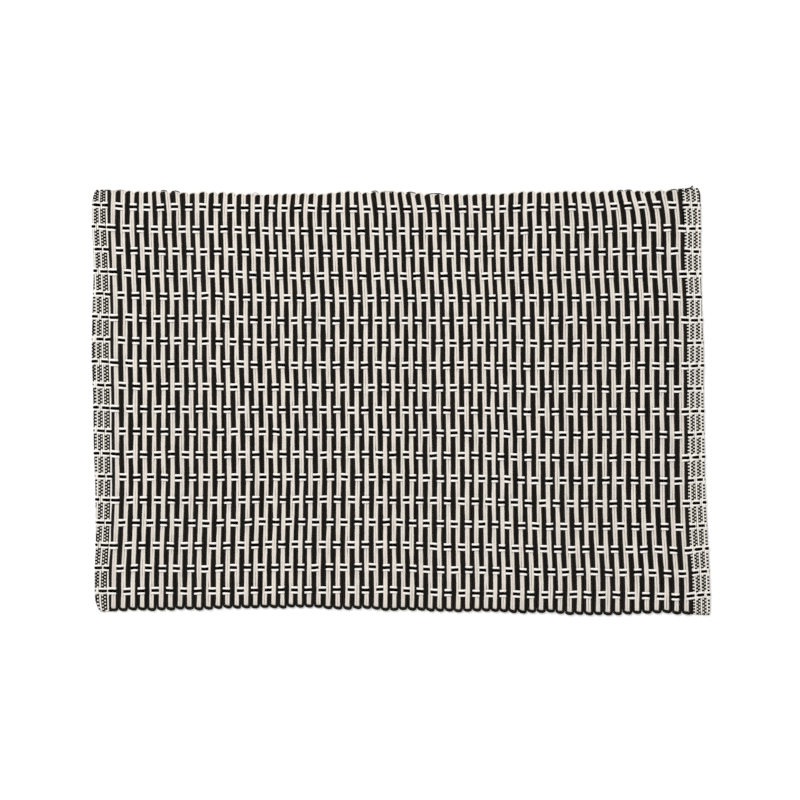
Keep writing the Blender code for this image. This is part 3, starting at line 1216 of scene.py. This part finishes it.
# The fine threads along the far edge: how many points each has, how squarely it comes
# out, how deep its ends lie between the cords, its lowest height and its climb, its
# thickness and how much thicker the loose end is.
EDGE_THREAD_STEPS = 13
EDGE_THREAD_SQUARENESS = 0.25
EDGE_THREAD_DEPTH = 3.0 * MM
EDGE_THREAD_FOOT = 0.9 * MM
EDGE_THREAD_CLIMB = 1.25 * MM
EDGE_THREAD_SIZE = 0.75 * MM
LOOSE_END_SWELL = 1.45
EDGE_THREAD_SPIN = Spin(length=0.012, contrast=0.4, plies=2, lay=3.0 * MM)


def edge_thread_run(start, end, beyond):
    """A fine thread along the far edge, that comes out between the cords and dips back."""
    share = np.linspace(0, 1, EDGE_THREAD_STEPS)
    out = np.sin(math.pi * share) ** EDGE_THREAD_SQUARENESS
    x = (start + (end - start) * share) * MM
    y = line_y("far", x) - EDGE_THREAD_DEPTH + (EDGE_THREAD_DEPTH + beyond * MM) * out
    return np.c_[x, y, EDGE_THREAD_FOOT + EDGE_THREAD_CLIMB * out]


def loose_end_run():
    x, y = column(LOOSE_END, "x") * MM, column(LOOSE_END, "y") * MM
    z = np.linspace(EDGE_THREAD_FOOT + EDGE_THREAD_CLIMB, EDGE_THREAD_FOOT, len(x))
    return np.c_[x, y, z]


class PLACEMAT_OT_edge_threads(bpy.types.Operator):
    """Lay the few fine threads along the far edge; the cream ones are painted shadow there"""

    bl_idname = "placemat.edge_threads"
    bl_label = "Lay Edge Threads"

    def execute(self, context):
        look = context.scene.placemat_cotton
        size = (EDGE_THREAD_SIZE, EDGE_THREAD_SIZE)
        # The darker cream here is painted shadow of the loops along the far edge.
        for name, colour in (("black", look.deep_black), ("cream", look.shadowed_edge_cream)):
            material = cotton(f"edge_thread_{name}_cotton", colour, size, EDGE_THREAD_SPIN)
            lines = [(edge_thread_run(*row), 1.0) for row in EDGE_THREADS[name][1:]]
            if name == "black":
                lines.append((loose_end_run(), LOOSE_END_SWELL))
            runs = [(*line, strip) for line, strip in zip(lines, spread_strips(len(lines)))]
            yarn_piece(f"edge_threads_{name}", runs, size, material)
        return {"FINISHED"}


# The ground layer rises and falls with the cords. Its dark colour is partly the mat's fine
# black threads and partly painted shade in the gaps between the yarns. Its places among the
# yarns of a float and at the two ends, its places from one row to the next, and those beyond
# the first row and the last. Its threads lie GROUND_THREAD apart, with painted shade between
# them, and make up THREAD_SHARE of its light, which runs between shades of its colour.
GROUND_COLUMNS = (0.35, 1.5)
GROUND_LEFT = 0.35
GROUND_RIGHT = (YARNS - 1.4, YARNS - 0.35)
GROUND_ROWS = (0.0, 0.2, 0.5, 0.8)
GROUND_FAR = (-0.57, -0.25)
GROUND_NEAR = (ROWS - 0.75, ROWS - 0.38)
GROUND_THICKNESS = 0.3 * MM
GROUND_THREAD = 1.27 * MM
THREAD_SHARE = 0.6
GROUND_SHADES = (0.6, 1.4)


def ground_gap_shade_cotton(colour, width, depth):
    """Fine black threads side by side with painted shade between, on a layer of this width and
    depth.
    """
    material = bpy.data.materials.new("ground_gap_shade_cotton")
    nodes = Nodes(material)
    along, across = nodes.map_axes()
    along, across = along * (width / MM), across * (depth / MM)
    thread = (across / (GROUND_THREAD / MM)).ridges()
    spot = nodes.add("ShaderNodeCombineXYZ", {}, {"X": along, "Y": across})
    noise = nodes.noise(spot, scale=0.9, detail=3.0)
    # The threads' ridges paint shade in the grooves between the threads.
    light = THREAD_SHARE * thread + (1 - THREAD_SHARE) * noise
    nodes.surface({
        "Base Color": nodes.mix(light.clamped(), *(shade(colour, k) for k in GROUND_SHADES)),
        "Roughness": 0.9,
        "Normal": nodes.bump(thread, strength=0.5, distance=0.2 * MM),
    })
    return material


def ground_mesh():
    """A thin closed layer over the whole body, and its width and depth."""
    columns = np.r_[GROUND_LEFT, [
        start + step for start in range(1, YARNS - FLOAT, FLOAT) for step in GROUND_COLUMNS
    ], GROUND_RIGHT]
    rows = np.r_[GROUND_FAR, [
        row + step for row in range(ROWS - 1) for step in GROUND_ROWS
    ], ROWS - 1, GROUND_NEAR]
    bm = bmesh.new()
    layer = bm.loops.layers.uv.new(MAP_NAME)
    bmesh.ops.create_grid(bm, x_segments=len(columns) - 1, y_segments=len(rows) - 1, size=1.0)
    places = np.array([vert.co for vert in bm.verts])
    yarn = columns[((1 + places[:, 0]) / 2 * (len(columns) - 1)).round().astype(int)]
    row = rows[((1 - places[:, 1]) / 2 * (len(rows) - 1)).round().astype(int)]
    spots = cord_points(yarn, row, crossing_y(yarn, row))
    for vert, spot in zip(bm.verts, spots):
        vert.co = spot
    corner, (width, depth, _) = Vector(spots.min(0)[:2]), np.ptp(spots, axis=0)
    for face in bm.faces:
        for loop in face.loops:
            along, across = loop.vert.co.xy - corner
            loop[layer].uv = (along / width, across / depth)
    bmesh.ops.recalc_face_normals(bm, faces=bm.faces)
    bmesh.ops.solidify(bm, geom=bm.faces, thickness=GROUND_THICKNESS)
    mesh = bpy.data.meshes.new("ground")
    bm.to_mesh(mesh)
    bm.free()
    return mesh, width, depth


class PLACEMAT_OT_ground(bpy.types.Operator):
    """Lay the thin dark layer inside the body: fine black threads and painted shade in the gaps
    """

    bl_idname = "placemat.ground"
    bl_label = "Lay Ground"

    def execute(self, context):
        mesh, width, depth = ground_mesh()
        # The layer takes the black cords' colour: partly fine black threads, partly painted shade
        # in the gaps between the yarns.
        mesh.materials.append(ground_gap_shade_cotton(context.scene.placemat_cotton.black, width, depth))
        mesh.shade_smooth()
        ground = add_object("ground", mesh)
        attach(ground, "root")
        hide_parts("placemat")
        return {"FINISHED"}


# The stage: a wide floor just below the mat, a round lamp above its far left corner, and
# a camera that is set for the mat's face, at FACE_SHARE of the middle layer's height.
FLOOR_SIZE = 6.0
FLOOR_DROP = 0.2 * MM
FLOOR_LOOK = {
    "Base Color": (0.93, 0.93, 0.93, 1),
    "Roughness": 0.9,
    "Specular IOR Level": 0.1,
    "Emission Color": (1, 1, 1, 1),
}
LAMP_SIZE = 1.4
LAMP_PLACE = Vector((-0.9, 1.1, 1.9))
SENSOR_WIDTH = 36.0
FACE_SHARE = 1.6


class PLACEMAT_OT_stage(bpy.types.Operator):
    """Set a pale floor, soft light and the camera straight above the mat"""

    bl_idname = "placemat.stage"
    bl_label = "Set Stage"

    def execute(self, context):
        scene, studio = context.scene, context.scene.placemat_studio
        bm = bmesh.new()
        bmesh.ops.create_grid(bm, x_segments=1, y_segments=1, size=FLOOR_SIZE)
        mesh = bpy.data.meshes.new("floor")
        bm.to_mesh(mesh)
        bm.free()
        floor = add_object("floor", mesh)
        floor.location.z = -FLOOR_DROP
        pale = bpy.data.materials.new("floor_pale")
        Nodes(pale).surface({**FLOOR_LOOK, "Emission Strength": studio.floor_glow})
        mesh.materials.append(pale)

        world = bpy.data.worlds.new("studio")
        world.use_nodes = True
        back = world.node_tree.nodes["Background"]
        back.inputs["Color"].default_value = (1, 1, 1, 1)
        back.inputs["Strength"].default_value = studio.sky
        scene.world = world

        lamp = bpy.data.lights.new("soft_lamp", "AREA")
        lamp.shape = "DISK"
        lamp.size = LAMP_SIZE
        lamp.energy = studio.lamp
        lit = add_object("soft_lamp", lamp)
        lit.location = LAMP_PLACE
        lit.rotation_euler = (-LAMP_PLACE).to_track_quat("-Z", "Y").to_euler()

        lens = bpy.data.cameras.new("camera")
        lens.sensor_width = SENSOR_WIDTH
        drop = studio.height - FACE_SHARE * scene.placemat_weave.middle
        lens.lens = SENSOR_WIDTH * drop / studio.view_width
        camera = add_object("camera", lens)
        camera.location = (studio.view_x, studio.view_y, studio.height)
        scene.camera = camera
        scene.view_settings.view_transform = "Standard"
        return {"FINISHED"}


class PLACEMAT_PT_panel(bpy.types.Panel):
    """Lists the steps that weave the mat"""

    bl_idname = "PLACEMAT_PT_panel"
    bl_label = "Placemat"
    bl_space_type = "VIEW_3D"
    bl_region_type = "UI"
    bl_category = "Placemat"

    def draw(self, context):
        for step in STEPS:
            self.layout.operator(step.bl_idname)


STEPS = (
    PLACEMAT_OT_cords,
    PLACEMAT_OT_bars,
    PLACEMAT_OT_headings,
    PLACEMAT_OT_edge_threads,
    PLACEMAT_OT_ground,
    PLACEMAT_OT_stage,
)
SETTINGS = {
    "placemat_weave": WeaveSizes,
    "placemat_heading": HeadingSizes,
    "placemat_cotton": CottonLook,
    "placemat_studio": StudioSizes,
}
CLASSES = (*SETTINGS.values(), *STEPS, PLACEMAT_PT_panel)


def register():
    for cls in CLASSES:
        bpy.utils.register_class(cls)
    for name, cls in SETTINGS.items():
        setattr(bpy.types.Scene, name, PointerProperty(type=cls))


def unregister():
    for name in SETTINGS:
        delattr(bpy.types.Scene, name)
    for cls in reversed(CLASSES):
        bpy.utils.unregister_class(cls)


def main():
    register()
    for step in STEPS:
        group, name = step.bl_idname.split(".")
        getattr(getattr(bpy.ops, group), name)()


if __name__ == "__main__":
    main()
